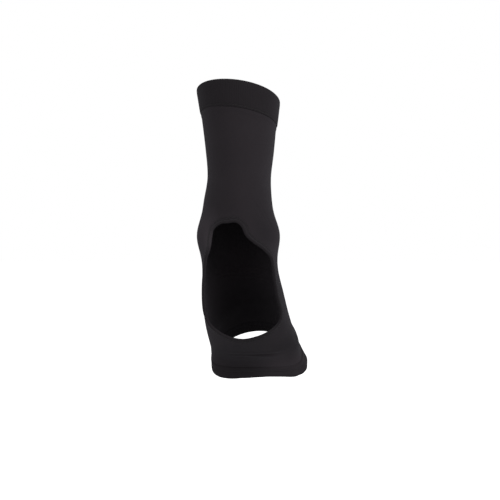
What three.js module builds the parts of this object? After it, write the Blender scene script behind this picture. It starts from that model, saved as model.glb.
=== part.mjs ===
// An open-heel ankle compression sleeve in its worn form, for a left foot that stands on its toes.
// Millimetres. +Z is up, +Y points forwards, away from the heel, and +X points to the inner side of
// the foot. The origin is the ankle's centre, midway between the two ankle bones.
//
// The sleeve is a knitted tube that runs down the leg, bends round the front of the ankle and goes
// on along the foot. A place on it has two measures: how far it lies along the tube's centre line
// from the cuff's top edge, in millimetres, and how far round the tube it lies, as a share of the
// way round: 0 at the shin and the top of the foot, 0.25 on the inner side, 0.5 at the back of the
// leg and the sole, and 0.75 on the outer side.
import * as THREE from 'three';

// The tube's centre line
const LEG_LENGTH = 139.5; // the cuff's top edge to the ankle's centre
const LEG_LEAN = 10; // degrees that the leg leans forwards
const BEND_RADIUS = 90; // of the centre line, round the front of the ankle
const FOOT_SLOPE = 35; // degrees that the foot points down
const FOOT_TURN = 17; // degrees that the foot points inwards
const SECTION_TURN = 5; // degrees that the toe edge does: its inner side lies further along the foot
const FOOT_REACH = 34; // the end of the bend to the toe edge

// What the sleeve fits round, measured on the skin
const CALF_WIDTH = 76;
const CALF_DEPTH = 88;
const ANKLE_WIDTH = 56;
const ANKLE_DEPTH = 74;
const BONE_WIDTH = 64; // at the ankle's centre, without the bones' bumps
const BONE_RISE = 5; // how far an ankle bone lifts the knit
const BONE_SPREAD = 17; // how far that bump reaches from its middle
const HEEL_DEPTH = 88; // the front of the ankle to the back of the heel
const ARCH_WIDTH = 84; // where the foot's arch begins
const ARCH_HEIGHT = 62; // sole to instep, where the foot's arch begins
const FOOT_WIDTH = 88; // at the toe edge
const FOOT_HEIGHT = 50; // at the toe edge, sole to instep

// The cloth
const KNIT_WALL = 1.4;
const CUFF_WALL = 2.4;
const CUFF_HEIGHT = 23.3;
const CUFF_SLANT = 9.5; // degrees that the cuff is pulled down on its inner side
const CUFF_TIP = 3; // degrees that the cuff's top edge rises at the back
const HEM_WALL = 2.2;
const HEM_WIDTH = 13.5;
const BINDING_WALL = 2.4;
const BINDING_WIDTH = 4.5;
const SEAM_GAP = 0.3; // between two pieces that are sewn edge to edge
const EDGE_ROUNDING = 0.25; // of a trim's wall, at its corners

// The heel opening, along the centre line from the cuff's top edge
const OPENING_TOP = 130.5;
const OPENING_LENGTH = 84.5;

const BEND_ANGLE = THREE.MathUtils.degToRad(LEG_LEAN + 90 - FOOT_SLOPE);
const BEND_LENGTH = BEND_RADIUS * BEND_ANGLE;
const TUBE_LENGTH = LEG_LENGTH + BEND_LENGTH + FOOT_REACH;

// Where each stretch of the centre line starts and how long it is
const STRETCHES = {
  leg: { start: 0, length: LEG_LENGTH },
  bend: { start: LEG_LENGTH, length: BEND_LENGTH },
  foot: { start: LEG_LENGTH + BEND_LENGTH, length: FOOT_REACH },
};

// Cross sections from the cuff's top edge to the toe edge; at is a share of the stretch.
// Widths: outer and inner are the two half widths, as shares of width.
const WIDTHS = [
  { on: 'leg', at: 0.0, width: CALF_WIDTH, outer: 0.516, inner: 0.48 },
  { on: 'leg', at: 0.17, width: CALF_WIDTH, outer: 0.468, inner: 0.445 },
  { on: 'leg', at: 0.38, width: ANKLE_WIDTH, outer: 0.552, inner: 0.552 },
  { on: 'leg', at: 0.57, width: ANKLE_WIDTH, outer: 0.512, inner: 0.502 },
  { on: 'leg', at: 0.75, width: ANKLE_WIDTH, outer: 0.575, inner: 0.519 },
  { on: 'bend', at: 0.0, width: BONE_WIDTH, outer: 0.522, inner: 0.496 },
  { on: 'bend', at: 0.25, width: BONE_WIDTH, outer: 0.514, inner: 0.535 },
  { on: 'bend', at: 0.5, width: ARCH_WIDTH, outer: 0.411, inner: 0.457 },
  { on: 'bend', at: 0.75, width: ARCH_WIDTH, outer: 0.424, inner: 0.487 },
  { on: 'foot', at: 0.0, width: ARCH_WIDTH, outer: 0.438, inner: 0.506 },
  { on: 'foot', at: 0.5, width: FOOT_WIDTH, outer: 0.458, inner: 0.482 },
  { on: 'foot', at: 1.0, width: FOOT_WIDTH, outer: 0.49, inner: 0.52 },
];

// Depths: front and back are measured from the centre line, as shares of depth. widest says how
// far the section's widest line lies behind the centre line, as a share of depth.
const DEPTHS = [
  { on: 'leg', at: 0.0, depth: CALF_DEPTH, front: 0.47, back: 0.5, widest: 0.0 },
  { on: 'leg', at: 0.17, depth: CALF_DEPTH, front: 0.44, back: 0.46, widest: 0.0 },
  { on: 'leg', at: 0.38, depth: ANKLE_DEPTH, front: 0.48, back: 0.53, widest: 0.0 },
  { on: 'leg', at: 0.57, depth: ANKLE_DEPTH, front: 0.46, back: 0.53, widest: 0.0 },
  { on: 'leg', at: 0.75, depth: ANKLE_DEPTH, front: 0.46, back: 0.54, widest: 0.0 },
  { on: 'bend', at: 0.0, depth: HEEL_DEPTH, front: 0.39, back: 0.48, widest: 0.0 },
  { on: 'bend', at: 0.25, depth: HEEL_DEPTH, front: 0.43, back: 0.57, widest: 0.0 },
  { on: 'bend', at: 0.5, depth: HEEL_DEPTH, front: 0.44, back: 0.52, widest: 0.0 },
  { on: 'bend', at: 0.75, depth: ARCH_HEIGHT, front: 0.63, back: 0.49, widest: 0.08 },
  { on: 'foot', at: 0.0, depth: ARCH_HEIGHT, front: 0.57, back: 0.365, widest: 0.15 },
  { on: 'foot', at: 0.5, depth: FOOT_HEIGHT, front: 0.6, back: 0.42, widest: 0.17 },
  { on: 'foot', at: 1.0, depth: FOOT_HEIGHT, front: 0.49, back: 0.52, widest: 0.2 },
];

// The sections' superellipse powers: 2 is an ellipse, and more is squarer
const BOWS = [
  { on: 'leg', at: 0.17, front: 2.0, back: 2.0 },
  { on: 'leg', at: 0.38, front: 2.0, back: 2.0 },
  { on: 'leg', at: 0.57, front: 2.0, back: 1.9 },
  { on: 'leg', at: 0.75, front: 2.0, back: 1.8 },
  { on: 'bend', at: 0.0, front: 2.0, back: 1.8 },
  { on: 'bend', at: 0.25, front: 2.0, back: 2.0 },
  { on: 'bend', at: 0.5, front: 2.0, back: 2.1 },
  { on: 'bend', at: 0.75, front: 2.0, back: 2.3 },
  { on: 'foot', at: 0.0, front: 1.9, back: 2.6 },
  { on: 'foot', at: 0.5, front: 1.9, back: 3.6 },
  { on: 'foot', at: 1.0, front: 1.9, back: 5.4 },
];

// How far the top is pulled askew: slant is a share of CUFF_SLANT and tip one of CUFF_TIP
const PULLS = [
  { on: 'leg', at: 0.0, slant: 0.95, tip: 1.0 },
  { on: 'leg', at: 0.17, slant: 1.1, tip: 0.0 },
  { on: 'leg', at: 0.38, slant: 0.5, tip: 0.0 },
  { on: 'leg', at: 0.57, slant: 0.1, tip: 0.0 },
  { on: 'leg', at: 0.75, slant: 0.0, tip: 0.0 },
  { on: 'bend', at: 0.0, slant: 0.0, tip: 0.0 },
];

// The bumps over the two ankle bones: where the middle lies along the leg and round the tube
const BONES = [
  { on: 'leg', at: 0.96, around: 0.255 },
  { on: 'leg', at: 0.965, around: 0.745 },
];

// The heel opening's outline. down is a share of OPENING_LENGTH; inner and outer say how far the
// edge lies from the back of the tube on each side, as shares of half the way round. Below 0 it
// lies on the other side.
const OPENING = [
  { down: 0.0, inner: -0.025, outer: 0.165 },
  { down: 0.05, inner: 0.02, outer: 0.24 },
  { down: 0.12, inner: 0.045, outer: 0.257 },
  { down: 0.18, inner: 0.122, outer: 0.264 },
  { down: 0.235, inner: 0.242, outer: 0.279 },
  { down: 0.3, inner: 0.338, outer: 0.322 },
  { down: 0.38, inner: 0.362, outer: 0.35 },
  { down: 0.5, inner: 0.362, outer: 0.378 },
  { down: 0.65, inner: 0.361, outer: 0.385 },
  { down: 0.78, inner: 0.362, outer: 0.368 },
  { down: 0.86, inner: 0.328, outer: 0.294 },
  { down: 0.92, inner: 0.223, outer: 0.19 },
  { down: 0.97, inner: 0.105, outer: 0.105 },
];

// How finely the curved surfaces are faceted
const COLUMNS = 48;
const KNIT_ROWS = 26;
const CUFF_ROWS = 4;
const HEM_ROWS = 2;
const HALF_OUTLINE_STEPS = 96;
const EDGE_STEPS = 720; // round the opening, to measure it
const PATCH_RINGS = 3;
const SPARE_ROWS = 2; // rows and columns from the opening to the regular grid, at the least
const NEAR = 1; // the step for surface directions, in millimetres

const { degToRad, clamp, lerp } = THREE.MathUtils;

const alongOf = ({ on, at }) => STRETCHES[on].start + at * STRETCHES[on].length;

// A smooth curve through a table's column: cubic, with a slope at each row from its two neighbours.
function smoothColumn(rows, valueOf) {
  const x = rows.map(alongOf);
  const y = rows.map(valueOf);
  const slope = y.map((_, i) => {
    const a = Math.max(i - 1, 0);
    const b = Math.min(i + 1, y.length - 1);
    return (y[b] - y[a]) / (x[b] - x[a]);
  });
  return (along) => {
    let i = 0;
    while (i < x.length - 2 && along > x[i + 1]) i += 1;
    const step = x[i + 1] - x[i];
    const t = clamp((along - x[i]) / step, 0, 1);
    const rise = y[i + 1] - y[i];
    const cubic = step * (slope[i] + slope[i + 1]) - 2 * rise;
    return y[i] + t * (step * slope[i] + t * (rise - step * slope[i] - (1 - t) * cubic));
  };
}

const column = {
  outer: smoothColumn(WIDTHS, (row) => row.width * row.outer),
  inner: smoothColumn(WIDTHS, (row) => row.width * row.inner),
  front: smoothColumn(DEPTHS, (row) => row.depth * (row.front + row.widest)),
  back: smoothColumn(DEPTHS, (row) => row.depth * (row.back - row.widest)),
  widest: smoothColumn(DEPTHS, (row) => row.depth * row.widest),
  frontBow: smoothColumn(BOWS, (row) => row.front),
  backBow: smoothColumn(BOWS, (row) => row.back),
  slant: smoothColumn(PULLS, (row) => degToRad(row.slant * CUFF_SLANT)),
  tip: smoothColumn(PULLS, (row) => degToRad(row.tip * CUFF_TIP)),
};

// How far round the bend a place is, from 0 at the ankle's centre to 1 at the foot
const bent = (along) => clamp((along - LEG_LENGTH) / BEND_LENGTH, 0, 1);

// The directions at a place on the centre line, for a full turn of the foot in degrees: side points
// to the foot's inner side, front to the shin or the top of the foot, and up towards the cuff.
function directionsAt(along, fullTurn, tip = 0, slant = 0) {
  const pitch = degToRad(LEG_LEAN) - BEND_ANGLE * bent(along) + tip;
  const turn = degToRad(fullTurn) * (1 - (1 - bent(along)) ** 3);
  const ahead = new THREE.Vector3(Math.sin(turn), Math.cos(turn), 0);
  const flat = new THREE.Vector3(Math.cos(turn), -Math.sin(turn), 0);
  const steep = ahead.clone().multiplyScalar(Math.sin(pitch)).setZ(Math.cos(pitch));
  const front = ahead.clone().multiplyScalar(Math.cos(pitch)).setZ(-Math.sin(pitch));
  const side = flat.clone().multiplyScalar(Math.cos(slant)).addScaledVector(steep, -Math.sin(slant));
  const up = steep.clone().multiplyScalar(Math.cos(slant)).addScaledVector(flat, Math.sin(slant));
  return { side, front, up };
}

// The centre line, walked in short steps down from the ankle's centre
const WALK_STEPS = 200;
const walk = [new THREE.Vector3()];
for (let i = 0; i < WALK_STEPS; i += 1) {
  const step = (BEND_LENGTH + FOOT_REACH) / WALK_STEPS;
  const { up } = directionsAt(LEG_LENGTH + (i + 0.5) * step, FOOT_TURN);
  walk.push(walk[i].clone().addScaledVector(up, -step));
}

function centreAt(along) {
  const below = along - LEG_LENGTH;
  if (below <= 0) return directionsAt(along, FOOT_TURN).up.multiplyScalar(-below);
  const place = (below / (BEND_LENGTH + FOOT_REACH)) * WALK_STEPS;
  const i = Math.min(Math.floor(place), WALK_STEPS - 1);
  return walk[i].clone().lerp(walk[i + 1], place - i);
}

// One half of a cross section's outline, front to back, with its points evenly spaced
function halfOutline(along, halfWidth) {
  const front = column.front(along);
  const back = column.back(along);
  const points = [];
  for (let i = 0; i <= HALF_OUTLINE_STEPS; i += 1) {
    const angle = (Math.PI * i) / HALF_OUTLINE_STEPS;
    const ahead = Math.cos(angle);
    const power = 2 / (ahead > 0 ? column.frontBow(along) : column.backBow(along));
    const reach = ahead > 0 ? front : back;
    const x = halfWidth * Math.sin(angle) ** power;
    const y = Math.sign(ahead) * reach * Math.abs(ahead) ** power - column.widest(along);
    points.push(new THREE.Vector2(i === HALF_OUTLINE_STEPS ? 0 : x, y));
  }
  const lengths = [0];
  for (let i = 1; i < points.length; i += 1) {
    lengths.push(lengths[i - 1] + points[i].distanceTo(points[i - 1]));
  }
  return (share) => {
    const wanted = share * lengths.at(-1);
    let i = 1;
    while (i < lengths.length - 1 && lengths[i] < wanted) i += 1;
    const t = (wanted - lengths[i - 1]) / (lengths[i] - lengths[i - 1]);
    return points[i - 1].clone().lerp(points[i], t);
  };
}

const sectionsMade = new Map();
function sectionAt(along) {
  if (!sectionsMade.has(along)) {
    sectionsMade.set(along, {
      centre: centreAt(along),
      ...directionsAt(along, SECTION_TURN, column.tip(along), column.slant(along)),
      inner: halfOutline(along, column.inner(along)),
      outer: halfOutline(along, column.outer(along)),
    });
  }
  return sectionsMade.get(along);
}

// The bare tube, without the ankle bones' bumps
function tubeAt(along, around) {
  const section = sectionAt(along);
  const turned = around - Math.floor(around);
  const onInner = turned <= 0.5;
  const place = onInner ? section.inner(turned * 2) : section.outer((1 - turned) * 2);
  return section.centre
    .clone()
    .addScaledVector(section.side, onInner ? place.x : -place.x)
    .addScaledVector(section.front, place.y);
}

function outwardAt(surface, along, around) {
  const aside = NEAR / GIRTH;
  const down = surface(along + NEAR, around).sub(surface(along - NEAR, around));
  const round = surface(along, around + aside).sub(surface(along, around - aside));
  return round.cross(down).normalize();
}

const GIRTH = Math.PI * 0.5 * (ANKLE_WIDTH + ANKLE_DEPTH);
const BONE_PLACES = BONES.map((bone) => tubeAt(alongOf(bone), bone.around));

// The surface of the leg and foot that the sleeve fits round
function skinAt(along, around) {
  const place = tubeAt(along, around);
  const bump = BONE_PLACES.reduce((sum, bone) => {
    const far = place.distanceTo(bone) / BONE_SPREAD;
    return sum + BONE_RISE * Math.exp(-far * far);
  }, 0);
  return place.addScaledVector(outwardAt(tubeAt, along, around), bump);
}

// A place that lies a given height above the skin
const liftedAt = ({ along, around }, height) =>
  skinAt(along, around).addScaledVector(outwardAt(skinAt, along, around), height);

// The opening's edge as a smooth closed curve on the flattened tube, from the back's middle down
// the inner side and up the outer side
const flattened = (down, share) =>
  new THREE.Vector3(0.5 * share * GIRTH, OPENING_TOP + down * OPENING_LENGTH, 0);
const placeOf = (point) => ({ along: point.y, around: 0.5 + point.x / GIRTH });
const openingEdge = new THREE.CatmullRomCurve3(
  [
    flattened(OPENING[0].down, 0.5 * (OPENING[0].outer - OPENING[0].inner)),
    ...OPENING.map((row) => flattened(row.down, -row.inner)),
    flattened(1, 0),
    ...OPENING.toReversed().map((row) => flattened(row.down, row.outer)),
  ],
  true,
  'centripetal',
).getSpacedPoints(EDGE_STEPS);

// The knit's regular grid, and the block of it round the opening, which a patch replaces
const KNIT_START = CUFF_HEIGHT + SEAM_GAP;
const KNIT_END = TUBE_LENGTH - HEM_WIDTH - SEAM_GAP;
const ROW_STEP = (KNIT_END - KNIT_START) / KNIT_ROWS;
const gridPlace = (row, col) => ({ along: KNIT_START + row * ROW_STEP, around: col / COLUMNS });
const edgeRows = openingEdge.map((point) => (point.y - KNIT_START) / ROW_STEP);
const edgeColumns = openingEdge.map((point) => placeOf(point).around * COLUMNS);
const block = {
  top: Math.floor(Math.min(...edgeRows)) - SPARE_ROWS,
  bottom: Math.ceil(Math.max(...edgeRows)) + SPARE_ROWS,
  left: Math.floor(Math.min(...edgeColumns)) - SPARE_ROWS,
  right: Math.ceil(Math.max(...edgeColumns)) + SPARE_ROWS,
};

// The grid's crossings round that block, from its top left corner down
const blockRim = [];
for (let row = block.top; row < block.bottom; row += 1) blockRim.push([row, block.left]);
for (let col = block.left; col < block.right; col += 1) blockRim.push([block.bottom, col]);
for (let row = block.bottom; row > block.top; row -= 1) blockRim.push([row, block.right]);
for (let col = block.right; col > block.left; col -= 1) blockRim.push([block.top, col]);

// How far round the block's middle a place lies, as an angle, with the block taken as a square
const bearing = (row, col) => {
  const down = (row - 0.5 * (block.top + block.bottom)) / (block.bottom - block.top);
  const aside = (col - 0.5 * (block.left + block.right)) / (block.right - block.left);
  return Math.atan2(down, aside);
};

// The edge's point nearest in bearing to each crossing on the rim
const edgeBearings = openingEdge.map((_, i) => bearing(edgeRows[i], edgeColumns[i]));
const edgePlaces = blockRim.map(([row, col]) => {
  const wanted = bearing(row, col);
  const off = edgeBearings.map((angle) => Math.abs(Math.sin((angle - wanted) / 2)));
  return placeOf(openingEdge[off.indexOf(Math.min(...off))]);
});

// The places that lie a given distance outwards of the opening's edge, along the surface
function besideOpening(distance) {
  const count = edgePlaces.length;
  return edgePlaces.map((place, i) => {
    const ahead = edgePlaces[(i + 1) % count];
    const behind = edgePlaces[(i + count - 1) % count];
    const outward = outwardAt(skinAt, place.along, place.around);
    const tangent = skinAt(ahead.along, ahead.around).sub(skinAt(behind.along, behind.around));
    const aside = outward.cross(tangent).normalize();
    const down = skinAt(place.along + NEAR, place.around)
      .sub(skinAt(place.along - NEAR, place.around))
      .divideScalar(2 * NEAR);
    const step = NEAR / GIRTH;
    const round = skinAt(place.along, place.around + step)
      .sub(skinAt(place.along, place.around - step))
      .divideScalar(2 * step);
    const [dd, dr, rr] = [down.dot(down), down.dot(round), round.dot(round)];
    const [da, ra] = [down.dot(aside), round.dot(aside)];
    const scale = distance / (dd * rr - dr * dr);
    return {
      along: place.along + scale * (rr * da - dr * ra),
      around: place.around + scale * (dd * ra - dr * da),
    };
  });
}

// Turns vertices and faces into a mesh, with its faces pointing outwards
function meshOf(name, vertices, triangles, material) {
  const volume = triangles.reduce((sum, [a, b, c]) => {
    return sum + vertices[a].dot(vertices[b].clone().cross(vertices[c]));
  }, 0);
  const index = volume < 0 ? triangles.map(([a, b, c]) => [a, c, b]) : triangles;
  const geometry = new THREE.BufferGeometry().setFromPoints(vertices);
  geometry.setIndex(index.flat());
  geometry.computeVertexNormals();
  const mesh = new THREE.Mesh(geometry, material);
  mesh.name = name;
  return mesh;
}

const halves = ([a, b, c, d]) => [[a, b, c], [a, c, d]];

// A sheet of cloth: quads over places on the skin, with a wall above it. Its rims are closed, and
// places that no quad uses are left out.
function sheetMesh(name, places, quads, wall, material) {
  const used = [...new Set(quads.flat())];
  const newId = new Map(used.map((id, i) => [id, i]));
  const faces = quads.map((quad) => quad.map((id) => newId.get(id))).flatMap(halves);
  const vertices = [wall, 0].flatMap((height) => used.map((id) => liftedAt(places[id], height)));
  const below = (id) => id + used.length;
  const edges = faces.flatMap(([a, b, c]) => [[a, b], [b, c], [c, a]]);
  const known = new Set(edges.map(([a, b]) => `${a} ${b}`));
  const rims = edges
    .filter(([a, b]) => !known.has(`${b} ${a}`))
    .flatMap(([a, b]) => halves([b, a, below(a), below(b)]));
  const inside = faces.map(([a, b, c]) => [below(a), below(c), below(b)]);
  return meshOf(name, vertices, [...faces, ...inside, ...rims], material);
}

// A closed trim: rings of places with a height above the skin each, joined ring to ring
function trimMesh(name, rings, material) {
  const around = rings[0].places.length;
  const vertices = rings.flatMap((ring) => ring.places.map((place) => liftedAt(place, ring.height)));
  const faces = rings.flatMap((_, j) => {
    const next = (j + 1) % rings.length;
    return Array.from({ length: around }, (__, i) => {
      const beside = (i + 1) % around;
      return [j * around + i, j * around + beside, next * around + beside, next * around + i];
    }).flatMap(halves);
  });
  return meshOf(name, vertices, faces, material);
}

// A band that runs all the way round the tube between two places along it, with rounded edges
function bandMesh(name, from, to, wall, rows, material) {
  const ringAt = (along, height) => ({
    height,
    places: Array.from({ length: COLUMNS }, (_, i) => ({ along, around: i / COLUMNS })),
  });
  const edge = EDGE_ROUNDING * wall;
  const across = Array.from({ length: rows + 1 }, (_, row) => lerp(from + edge, to - edge, row / rows));
  const rings = [
    ...across.map((along) => ringAt(along, wall)),
    ringAt(to, wall - edge),
    ringAt(to, edge),
    ...across.toReversed().map((along) => ringAt(along, 0)),
    ringAt(from, edge),
    ringAt(from, wall - edge),
  ];
  return trimMesh(name, rings, material);
}

// The knitted tube: the grid, and the patch whose rings go from the opening out to the grid
function knitTube(material) {
  const idOf = (row, col) => row * COLUMNS + (col % COLUMNS);
  const places = Array.from({ length: (KNIT_ROWS + 1) * COLUMNS }, (_, id) =>
    gridPlace(Math.floor(id / COLUMNS), id % COLUMNS),
  );
  const quads = [];
  for (let row = 0; row < KNIT_ROWS; row += 1) {
    for (let col = 0; col < COLUMNS; col += 1) {
      const inBlock = row >= block.top && row < block.bottom && col >= block.left && col < block.right;
      if (inBlock) continue;
      quads.push([idOf(row, col), idOf(row + 1, col), idOf(row + 1, col + 1), idOf(row, col + 1)]);
    }
  }
  const edge = besideOpening(BINDING_WIDTH + SEAM_GAP);
  const count = edge.length;
  const patchStart = places.length;
  const patchId = (ring, i) =>
    ring === PATCH_RINGS ? idOf(...blockRim[i % count]) : patchStart + ring * count + (i % count);
  for (let ring = 0; ring < PATCH_RINGS; ring += 1) {
    const share = ring / PATCH_RINGS;
    edge.forEach((place, i) => {
      const crossing = gridPlace(...blockRim[i]);
      places.push({
        along: lerp(place.along, crossing.along, share),
        around: lerp(place.around, crossing.around, share),
      });
      const next = i + 1;
      quads.push([patchId(ring, i), patchId(ring + 1, i), patchId(ring + 1, next), patchId(ring, next)]);
    });
  }
  return sheetMesh('knit_tube', places, quads, KNIT_WALL, material);
}

// The binding: a folded strip sewn round the heel opening, its fold at the opening's edge
function heelBinding(material) {
  const edge = EDGE_ROUNDING * BINDING_WALL;
  const ringAt = (distance, height) => ({ height, places: besideOpening(distance) });
  const rings = [
    ringAt(edge, BINDING_WALL),
    ringAt(BINDING_WIDTH - edge, BINDING_WALL),
    ringAt(BINDING_WIDTH, BINDING_WALL - edge),
    ringAt(BINDING_WIDTH, edge),
    ringAt(BINDING_WIDTH - edge, 0),
    ringAt(edge, 0),
    ringAt(0, edge),
    ringAt(0, BINDING_WALL - edge),
  ];
  return trimMesh('heel_binding', rings, material);
}

const knitBlack = new THREE.MeshStandardMaterial({ color: 0x2a282a, roughness: 0.85, metalness: 0 });
const bandBlack = new THREE.MeshStandardMaterial({ color: 0x211f22, roughness: 0.8, metalness: 0 });

const sleeve = new THREE.Group();
sleeve.name = 'ankle_sleeve';
sleeve.add(
  knitTube(knitBlack),
  bandMesh('top_cuff', 0, CUFF_HEIGHT, CUFF_WALL, CUFF_ROWS, bandBlack),
  bandMesh('toe_hem', TUBE_LENGTH - HEM_WIDTH, TUBE_LENGTH, HEM_WALL, HEM_ROWS, bandBlack),
  heelBinding(bandBlack),
);

export default sleeve;
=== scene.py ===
# An open-heel ankle sleeve, in the stretched form that it has in use. Metres. +Z is up, +Y points
# forwards, away from the heel opening, and +X points to the sleeve's inner side. The origin is the
# centre of its ankle, midway between the two ankle bumps.
import math
from collections import namedtuple

import bpy
import numpy as np
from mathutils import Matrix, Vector, kdtree


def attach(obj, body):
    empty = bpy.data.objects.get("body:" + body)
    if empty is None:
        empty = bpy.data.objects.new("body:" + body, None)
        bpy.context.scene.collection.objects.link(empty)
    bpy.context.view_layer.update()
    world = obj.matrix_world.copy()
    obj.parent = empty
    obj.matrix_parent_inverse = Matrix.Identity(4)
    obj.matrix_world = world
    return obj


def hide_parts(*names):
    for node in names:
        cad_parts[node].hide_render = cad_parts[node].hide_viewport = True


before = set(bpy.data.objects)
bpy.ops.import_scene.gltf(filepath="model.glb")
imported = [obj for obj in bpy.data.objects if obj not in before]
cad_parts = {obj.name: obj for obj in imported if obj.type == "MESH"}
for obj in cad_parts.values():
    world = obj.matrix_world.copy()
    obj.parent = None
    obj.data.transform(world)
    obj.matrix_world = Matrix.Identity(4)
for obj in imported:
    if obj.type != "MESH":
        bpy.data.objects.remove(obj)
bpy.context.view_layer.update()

# The studio. A white floor in front of a white sky, a large soft light high on the right and a
# weaker one on the left. Floor and sky look white but send less light back than that, so that the
# black cloth keeps its shades. The camera looks straight at the sleeve's back, level with its ankle.
CAMERA_PLACE = (0.0098, -1.2, -0.0084)
CAMERA_FOCUS = 92.9  # millimetres
CAMERA_SENSOR = 36.0  # millimetres
FLOOR_LEVEL = -0.162
FLOOR_SPAN = 30.0
FLOOR_SEEN = 0.95  # how white the floor looks to the camera
FLOOR_GLOW = 0.6  # how much it glows there, which hides the horizon
FLOOR_BOUNCE = 0.65  # how white it is to the light that it sends back
FLOOR_ROUGHNESS = 0.9
SKY_LIGHT = 0.5
LIGHTS = {
    "light_right": {"place": (1.3, -1.1, 0.85), "size": 1.2, "watts": 25.0},
    "light_left": {"place": (-1.1, -1.1, 0.5), "size": 1.0, "watts": 7.0},
}

camera_data = bpy.data.cameras.new("camera")
camera_data.lens = CAMERA_FOCUS
camera_data.sensor_width = CAMERA_SENSOR
camera = bpy.data.objects.new("camera", camera_data)
camera.location = CAMERA_PLACE
camera.rotation_euler = (math.radians(90), 0, 0)
bpy.context.collection.objects.link(camera)
bpy.context.scene.camera = camera
bpy.context.scene.view_settings.view_transform = "Standard"

sky = bpy.data.worlds.new("white_studio")
sky.use_nodes = True
sky_nodes, sky_links = sky.node_tree.nodes, sky.node_tree.links
sky_light = sky_nodes["Background"]
sky_light.inputs["Color"].default_value = (*[SKY_LIGHT] * 3, 1.0)
sky_seen = sky_nodes.new("ShaderNodeBackground")
sky_seen.inputs["Color"].default_value = (1.0, 1.0, 1.0, 1.0)
sky_mix = sky_nodes.new("ShaderNodeMixShader")
sky_path = sky_nodes.new("ShaderNodeLightPath")
sky_links.new(sky_path.outputs["Is Camera Ray"], sky_mix.inputs["Fac"])
sky_links.new(sky_light.outputs[0], sky_mix.inputs[1])
sky_links.new(sky_seen.outputs[0], sky_mix.inputs[2])
sky_links.new(sky_mix.outputs[0], sky_nodes["World Output"].inputs["Surface"])
bpy.context.scene.world = sky

for light_name, light in LIGHTS.items():
    lamp = bpy.data.lights.new(light_name, "AREA")
    lamp.shape = "SQUARE"
    lamp.size = light["size"]
    lamp.energy = light["watts"]
    holder = bpy.data.objects.new(light_name, lamp)
    holder.location = light["place"]
    holder.rotation_euler = (-Vector(light["place"])).to_track_quat("-Z", "Y").to_euler()
    bpy.context.collection.objects.link(holder)

floor_mesh = bpy.data.meshes.new("floor")
corners = [(-0.5, -0.5), (0.5, -0.5), (0.5, 0.5), (-0.5, 0.5)]
floor_corners = [(x * FLOOR_SPAN, y * FLOOR_SPAN, FLOOR_LEVEL) for x, y in corners]
floor_mesh.from_pydata(floor_corners, [], [(0, 1, 2, 3)])
floor_piece = bpy.data.objects.new("floor", floor_mesh)
bpy.context.collection.objects.link(floor_piece)
floor_white = bpy.data.materials.new("floor_white")
floor_white.use_nodes = True
floor_nodes, floor_links = floor_white.node_tree.nodes, floor_white.node_tree.links
floor_bounce = floor_nodes["Principled BSDF"]
floor_bounce.inputs["Base Color"].default_value = (*[FLOOR_BOUNCE] * 3, 1.0)
floor_bounce.inputs["Roughness"].default_value = FLOOR_ROUGHNESS
floor_seen = floor_nodes.new("ShaderNodeBsdfDiffuse")
floor_seen.inputs["Color"].default_value = (*[FLOOR_SEEN] * 3, 1.0)
floor_glow = floor_nodes.new("ShaderNodeEmission")
floor_glow.inputs["Strength"].default_value = FLOOR_GLOW
floor_sum = floor_nodes.new("ShaderNodeAddShader")
floor_mix = floor_nodes.new("ShaderNodeMixShader")
floor_path = floor_nodes.new("ShaderNodeLightPath")
floor_links.new(floor_seen.outputs[0], floor_sum.inputs[0])
floor_links.new(floor_glow.outputs[0], floor_sum.inputs[1])
floor_links.new(floor_path.outputs["Is Camera Ray"], floor_mix.inputs["Fac"])
floor_links.new(floor_bounce.outputs[0], floor_mix.inputs[1])
floor_links.new(floor_sum.outputs[0], floor_mix.inputs[2])
floor_links.new(floor_mix.outputs[0], floor_nodes["Material Output"].inputs["Surface"])
floor_mesh.materials.append(floor_white)

# The knitted tube. A fine black compression knit, 1.4 mm thick, knitted as one tube. Stretched, it
# runs down the leg part, round the front of the ankle and on along the foot part. The heel opening
# is a hole cut in its back.
#
# A place on it has two measures: how far it lies along the tube's centre line from the cuff's top
# edge, and how far round the tube, as a share of the way round: 0 at the front and the top, 0.25 on
# the inner side, 0.5 at the back and the underside, and 0.75 on the outer side.
MM = 0.001
LEG_LENGTH = 139.5 * MM  # the cuff's top edge to the ankle's centre
LEG_LEAN = math.radians(10)  # how far the leg part leans forwards
BEND_RADIUS = 90 * MM  # of the centre line, at the ankle
FOOT_SLOPE = math.radians(35)  # how far the foot part points down
FOOT_TURN = math.radians(17)  # how far the foot part points inwards
SECTION_TURN = math.radians(5)  # how far the toe edge points inwards
FOOT_REACH = 34 * MM  # the end of the bend to the toe edge
CALF_WIDTH = 76 * MM
CALF_DEPTH = 88 * MM
ANKLE_WIDTH = 56 * MM
ANKLE_DEPTH = 74 * MM
BONE_WIDTH = 64 * MM
BONE_RISE = 5 * MM
BONE_SPREAD = 17 * MM
HEEL_DEPTH = 88 * MM
ARCH_WIDTH = 84 * MM
ARCH_HEIGHT = 62 * MM
FOOT_WIDTH = 88 * MM
FOOT_HEIGHT = 50 * MM
CUFF_HEIGHT = 23.3 * MM
CUFF_SLANT = math.radians(9.5)  # how far the cuff is pulled down on its inner side
CUFF_TIP = math.radians(3)  # how far its top edge rises at the back
HEM_WIDTH = 13.5 * MM
OPENING_TOP = 130.5 * MM  # the heel opening, along the centre line
OPENING_LENGTH = 84.5 * MM
KNIT_WALL = 1.4 * MM
KNIT_TUCK = 2.5 * MM  # how far the knit goes on under the cuff, the hem and the binding

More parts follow.
